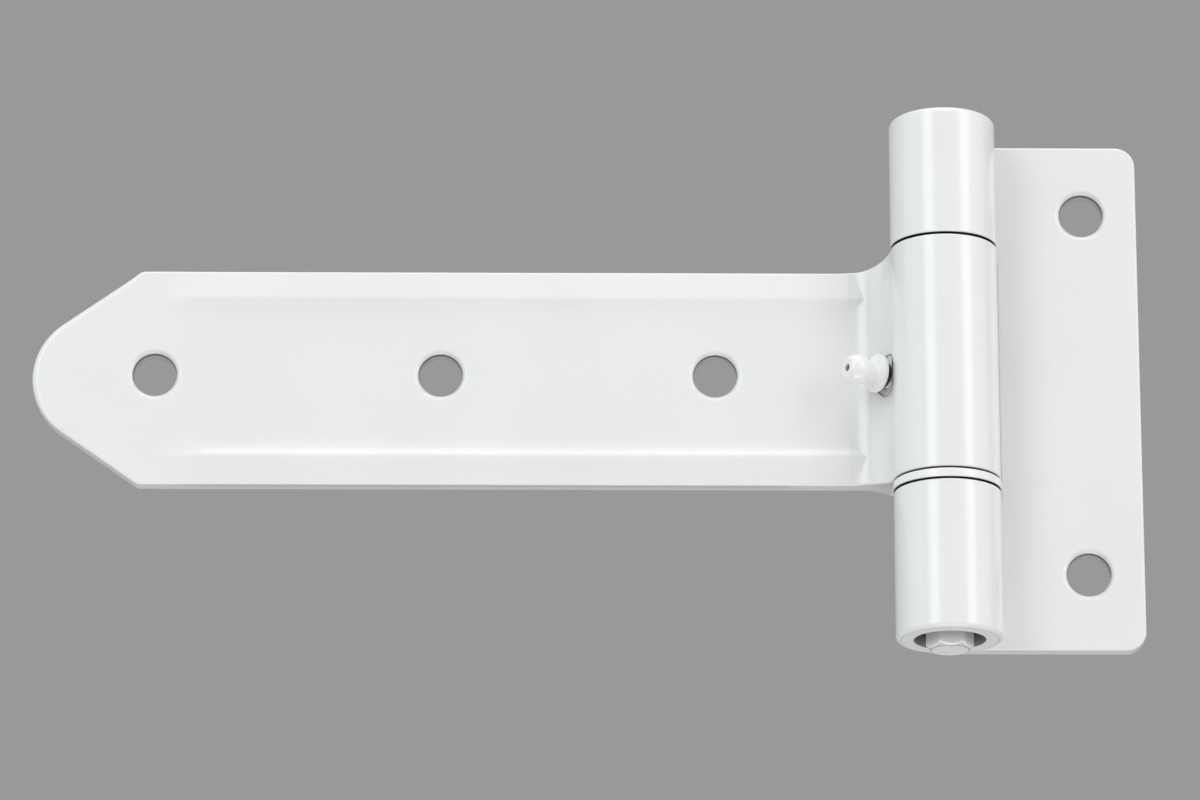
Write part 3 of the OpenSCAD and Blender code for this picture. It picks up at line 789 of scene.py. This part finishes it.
edge_u, edge_z = u - nu * front_r, z - nz * front_r
low_wall, high_wall = strap_low_end + joint_edge, strap_high_end - joint_edge
closing_z = np.concatenate([[low_wall], z_lines[(z_lines > 38) & (z_lines < 90.5)], [high_wall]])
closing = np.stack([np.full(len(closing_z), sweep_end + ring_patch), closing_z], 1)[::-1]
top_line = np.stack([ring_lines, np.full(len(ring_lines), high_wall)], 1)
foot_line = np.stack([ring_lines[::-1], np.full(len(ring_lines), low_wall)], 1)
front_loop = np.vstack([np.stack([edge_u, edge_z], 1), top_line, closing, foot_line])
loops = [front_loop] + front_holes + [mouth_loop]
lines = np.concatenate([nose_lines, fade_lines, long_lines, sweep_lines, ring_lines])
flat, tris = triangulate(loops, inner_points(lines, loops))
strap.add(front_surface(flat[:, 0], flat[:, 1]),
          surface_normal(front_surface, flat[:, 0], flat[:, 1], toward_front), tris.tolist())

back_edge = np.stack([xb - xn * edge_back, z - zn * edge_back], 1)
back_end = np.array([[0, strap_high_end - skin - edge_back], [0, strap_low_end + skin + edge_back]])
back_loop = np.vstack([back_edge, back_end])
loops = [back_loop] + back_holes
lines = np.concatenate([nose_lines, fade_lines, long_lines, under_sweep_lines, [-12, -6]])
flat, tris = triangulate(loops, inner_points(lines, loops))
strap.add(back_surface(flat[:, 0], flat[:, 1]),
          surface_normal(back_surface, flat[:, 0], flat[:, 1], np.array([0, 1.0, 0])), tris.tolist())

# Knuckle of the strap, with its wall from the patch's end round to the sweep's end
patch_end = math.pi + touch_turn + ring_patch / barrel_r
knuckle(strap, strap_low_end, strap_high_end, joint_edge, joint_edge,
        [(strap_low_end, 0.5), (strap_high_end, 1.0)], seam=0.6, wall=(patch_end, 3 * math.pi + touch_turn))
strap.piece("strap_leaf_painted", "strap", "white_paint", paint, "strap_leaf")

# Thrust washer, a little wider than the barrel; its lower joint gets more painted shade than its upper one
washer_r = 12.15
washer_bore = 6.05
washer = Shell()
washer_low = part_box("thrust_washer")[0].z / MM - PIN[2]
washer_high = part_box("thrust_washer")[1].z / MM - PIN[2]
corners = [
    (washer_r, washer_low), (washer_r, washer_high), (washer_bore, washer_high), (washer_bore, washer_low)
]
p, n = path(corners, [0.35, 0.35, 0.2, 0.2], closed=True, side=1, step=15)
p, n = np.vstack([p, p[:1]]), np.vstack([n, n[:1]])
upper_side = smooth((p[:, 1:] - washer_low) / (washer_high - washer_low))
darkened = joint_shade(p - [0.15, 0]) * (1 - 0.5 * upper_side)
revolve(washer, p, n, steps=ring_steps, wear=darkened)
washer.piece("thrust_washer_painted", "frame", "white_paint", lightened_paint, "thrust_washer")

# Grease nipple, turned about its own axis
shank_r = 2.8
shank_end = 5.5
collar_r = 4.35
collar_low = 12.0
neck_r = 2.4
head_at = 17.9
head_r = 3.4
filling_r = 0.85
chamber_r = 1.5
outlet_r = 0.75
neck_turn = math.asin(neck_r / head_r)
neck_at = head_at - head_r * math.cos(neck_turn)
face_r = math.sqrt(head_r ** 2 - 2.7 ** 2)
face_turn = math.asin(face_r / head_r)
head_turns = np.linspace(math.pi - neck_turn, face_turn, 22)

# Its profile: distance from the axis, place along the axis, rounding radius
profile = [
    (chamber_r, shank_end, 0.1), (shank_r, shank_end, 0.3), (shank_r, 10.0, 0.05), (shank_r, 10.3, 0.05),
    (shank_r, collar_low, 0.1), (collar_r, collar_low, 0.22), (collar_r, 12.9, 0.22), (2.85, 13.8, 0.35),
    (neck_r, 14.2, 0.5), (neck_r, neck_at, 0.35)
]
profile += [(head_r * math.sin(t), head_at + head_r * math.cos(t), 0.01) for t in head_turns[1:-1]]
profile += [
    (head_r * math.sin(face_turn), head_at + head_r * math.cos(face_turn), 0.25),
    (filling_r, 20.6, 0.22), (filling_r, 19.0, 0.05), (chamber_r, 18.9, 0.05), (chamber_r, 7.0, 0.1),
    (outlet_r, 7.0, 0.1), (outlet_r, shank_end, 0.1)
]
nipple = Shell()
nipple_steps = 96
p, n = path([row[:2] for row in profile], [row[2] for row in profile], closed=True, side=1, step=14)
p, n = np.vstack([p, p[:1]]), np.vstack([n, n[:1]])
# Painted shadow under the collar, and painted shade in the filling hole
under_collar = smooth((collar_low + 0.25 - p[:, 1]) / 0.2) * smooth((collar_r - 0.1 - p[:, 0]) / 0.2)
under_collar = under_collar * smooth((p[:, 1] - 10.0) / 0.3)
in_hole = smooth((1.1 - p[:, 0]) / 0.2) * smooth((20.3 - p[:, 1]) / 0.3) * (p[:, 1] > 14)
darkened = np.maximum(under_collar, in_hole)
revolve(nipple, p, n, nipple_steps, nipple_foot, nipple_axis, nipple_side, wear=darkened)
nipple.piece("grease_nipple_painted", "strap", "painted_fixings", lightened_paint, "nipple_body")

# Retaining screw: hexagon with rounded corners under a turned cone, which leaves a flat disc
hex_low = -2.3
hex_high = 1.7
hex_flat = 4.7
hex_turn = 2.0
hex_round = 0.45
corner_r = hex_flat / math.cos(math.radians(30))
disc_r = corner_r - 1.15
centre_r = 0.6
shank_at = 3.0
screw = Shell()
hex_turns = [math.radians(hex_turn + 60 * k) for k in range(6)]
hex_corners = [(corner_r * math.cos(t), corner_r * math.sin(t)) for t in hex_turns]
hex_p, hex_n = path(hex_corners, [hex_round] * 6, closed=True, side=1, step=12)
hex_p, hex_n = subdivide(hex_p, hex_n, 0.35, closed=True)

# One column of points for each place round the hexagon, from the disc over the cone and the flat to the top
columns, column_n = [], []
for (x, y), (nx, ny) in zip(hex_p, hex_n):
    out = math.hypot(x, y)
    ray = np.array([x / out, y / out])
    rise = hex_low + max(out - disc_r, 0.02)
    side_path = [
        (centre_r, hex_low), (disc_r - 0.3, hex_low), (disc_r, hex_low), (out, rise), (out, hex_high),
        (shank_at, hex_high)
    ]
    room = min(0.3, 0.42 * math.hypot(out - disc_r, rise - hex_low) / math.tan(math.radians(22.5)))
    p, n = path(side_path, [0, 0, room, room, 0.15, 0], side=1, step=16)
    wall = smooth((p[:, 1] - (rise - 0.1)) / 0.35)[:, None]
    flat = n[:, :1] * (ray * (1 - wall) + np.array([nx, ny]) * wall)
    columns.append(np.hstack([p[:, :1] * ray, p[:, 1:]]))
    column_n.append(np.hstack([flat, n[:, 1:]]))
columns, column_n = np.array(columns).transpose(1, 0, 2), np.array(column_n).transpose(1, 0, 2)

# A fine dark line round the disc, and the disc's middle as a fan
from_disc = np.hypot(np.hypot(columns[..., 0], columns[..., 1]) - disc_r, columns[..., 2] - hex_low)
screw.grid(columns, column_n, wrap=True, wear=0.6 * smooth((0.2 - from_disc) / 0.12))
count = columns.shape[1]
middle = np.vstack([[0, 0, hex_low], columns[0]])
fan = [[0, 1 + k, 1 + (k + 1) % count] for k in range(count)]
screw.add(middle, np.tile([0, 0, -1], (count + 1, 1)), fan)

# Thread of the shank: a helix swept as rows of root, crest, crest and root
pitch = 1.0
deep = 0.55
turns = 17.0
per_turn = 40
tooth = ((shank_at - deep, 0.0), (shank_at, 0.44), (shank_at, 0.56), (shank_at - deep, 1.0))
rows = []
for k in range(int(turns * per_turn) + 1):
    turn = 2 * math.pi * k / per_turn
    z0 = hex_high + pitch * k / per_turn
    ray = np.array([math.cos(turn), math.sin(turn)])
    rows.append([[*(r * ray), z0 + dz] for r, dz in tooth])
rows = np.array(rows)
along = np.gradient(rows, axis=0)
across = np.gradient(rows, axis=1)
thread_n = np.cross(across, along)
thread_n *= np.sign((thread_n[..., :2] * rows[..., :2]).sum(-1))[..., None]
screw.grid(rows, thread_n)
screw.piece("retaining_screw_painted", "frame", "painted_fixings", lightened_paint, "retaining_screw")

# Pieces inside the barrel keep their shape and get their own finish
for name, finish in (
    ("hinge_pin", steel), ("upper_sleeve", steel), ("lower_sleeve", steel), ("upper_bearing", bronze),
    ("lower_bearing", bronze), ("retaining_washer", steel), ("spring_washer", steel),
    ("nipple_ball", steel), ("nipple_spring", steel)
):
    for slot in frame["nodes"][name].material_slots:
        slot.material = finish

# Floor far below, so that it hides the part from no side
floor_z = -2.7
floor_half = 15
floor_mesh = bpy.data.meshes.new("floor")
floor_corners = [(x * floor_half, y * floor_half, floor_z) for x, y in ((-1, -1), (1, -1), (1, 1), (-1, 1))]
floor_mesh.from_pydata(floor_corners, [], [[0, 1, 2, 3]])
floor = bpy.data.objects.new("floor", floor_mesh)
bpy.context.scene.collection.objects.link(floor)
floor_material, nodes, links, shader = node_material("floor_board")
rays = nodes.new("ShaderNodeLightPath")
links.new(mixed(nodes, links, rays.outputs["Is Camera Ray"], rgb(0.78, 0.78, 0.78), rgb(0.36, 0.36, 0.36)),
          shader.inputs["Base Color"])
shader.inputs["Roughness"].default_value = 0.9
floor_mesh.materials.append(floor_material)

# World: soft light that is brighter from the front and from above, and a plain grey to look at
backdrop_grey = 0.3185
world = bpy.data.worlds.new("studio")
bpy.context.scene.world = world
world.use_nodes = True
nodes, links = world.node_tree.nodes, world.node_tree.links
background = nodes["Background"]
direction = nodes.new("ShaderNodeTexCoord").outputs["Generated"]
split = nodes.new("ShaderNodeSeparateXYZ")
links.new(direction, split.inputs["Vector"])


def weigh(value, weight, add):
    node = nodes.new("ShaderNodeMath")
    node.operation = "MULTIPLY_ADD"
    links.new(value, node.inputs[0])
    node.inputs[1].default_value = weight
    if isinstance(add, float):
        node.inputs[2].default_value = add
    else:
        links.new(add, node.inputs[2])
    return node.outputs[0]


level = 0.41
base_share, front_share, up_share, side_share = 0.97, -0.3, 0.25, 0.4
aside = nodes.new("ShaderNodeMath")
aside.operation = "ABSOLUTE"
links.new(split.outputs["X"], aside.inputs[0])
upward = weigh(split.outputs["Z"], up_share * level, level * base_share)
glow = weigh(split.outputs["Y"], front_share * level, upward)
glow = weigh(aside.outputs[0], side_share * level, glow)
tint = mixed(nodes, links, ranged(nodes, links, split.outputs["X"], -0.8, 0.8, 0.0, 1.0),
             rgb(0.95, 1.0, 1.03), rgb(1.0, 1.0, 0.985))
soft_light = nodes.new("ShaderNodeVectorMath")
soft_light.operation = "SCALE"
links.new(tint, soft_light.inputs[0])
links.new(glow, soft_light.inputs["Scale"])

# Camera, glossy and transmission rays meet the plain grey, all others the soft light
rays = nodes.new("ShaderNodeLightPath")
seen = nodes.new("ShaderNodeMath")
seen.operation = "MAXIMUM"
links.new(rays.outputs["Is Camera Ray"], seen.inputs[0])
links.new(rays.outputs["Is Glossy Ray"], seen.inputs[1])
seen_through = nodes.new("ShaderNodeMath")
seen_through.operation = "MAXIMUM"
links.new(seen.outputs[0], seen_through.inputs[0])
links.new(rays.outputs["Is Transmission Ray"], seen_through.inputs[1])
links.new(mixed(nodes, links, seen_through.outputs[0], soft_light.outputs["Vector"],
                rgb(backdrop_grey, backdrop_grey, backdrop_grey)), background.inputs["Color"])


# Soft boxes: each faces the hinge's middle from an azimuth off the front and an elevation
lamp_aim = Vector((-0.05, 0.0, 0.0))


def soft_box(name, azimuth, elevation, distance, width, height, radiance, colour):
    a, e = math.radians(azimuth), math.radians(elevation)
    away = Vector((math.sin(a) * math.cos(e), -math.cos(a) * math.cos(e), math.sin(e)))
    lamp = bpy.data.lights.new(name, "AREA")
    lamp.shape = "RECTANGLE"
    lamp.size, lamp.size_y = width, height
    lamp.energy = radiance * math.pi * width * height
    lamp.color = colour
    thing = bpy.data.objects.new(name, lamp)
    thing.location = lamp_aim + away * distance
    thing.rotation_mode = "QUATERNION"
    thing.rotation_quaternion = (-away).to_track_quat("-Z", "Y")
    thing.visible_camera = False
    bpy.context.scene.collection.objects.link(thing)


cool, plain, warm = (0.97, 1.0, 1.02), (1.0, 1.0, 1.0), (1.0, 1.0, 0.99)
soft_box("left_box", -34, 20, 2.0, 0.7, 1.7, 2.5, cool)
soft_box("right_box", 47, 20, 2.0, 0.7, 1.7, 2.6, warm)
soft_box("front_box", 12, 58, 2.0, 1.4, 0.8, 2.1, plain)
soft_box("left_fill", -78, 15, 2.0, 1.3, 1.7, 0.65, cool)
soft_box("right_fill", 80, 15, 2.0, 1.2, 1.7, 0.5, warm)
soft_box("top_box", 0, 86, 1.8, 1.4, 0.35, 4.5, plain)
soft_box("low_box", 0, -72, 2.0, 1.6, 0.8, 3.4, plain)

# Camera of the photograph: it looks up at the hinge from below
camera_tilt = 17.60
camera_turn = -0.53
camera_data = bpy.data.cameras.new("camera")
camera_data.sensor_width = 36.0
camera_data.lens = 194.58
camera_data.clip_start = 0.1
camera_data.clip_end = 100.0
camera = bpy.data.objects.new("camera", camera_data)
camera.location = (-0.12242, -1.39808, -0.44420)
camera.rotation_euler = (math.radians(90 + camera_tilt), 0.0, math.radians(camera_turn))
bpy.context.scene.collection.objects.link(camera)
bpy.context.scene.camera = camera
bpy.context.scene.view_settings.view_transform = "Standard"
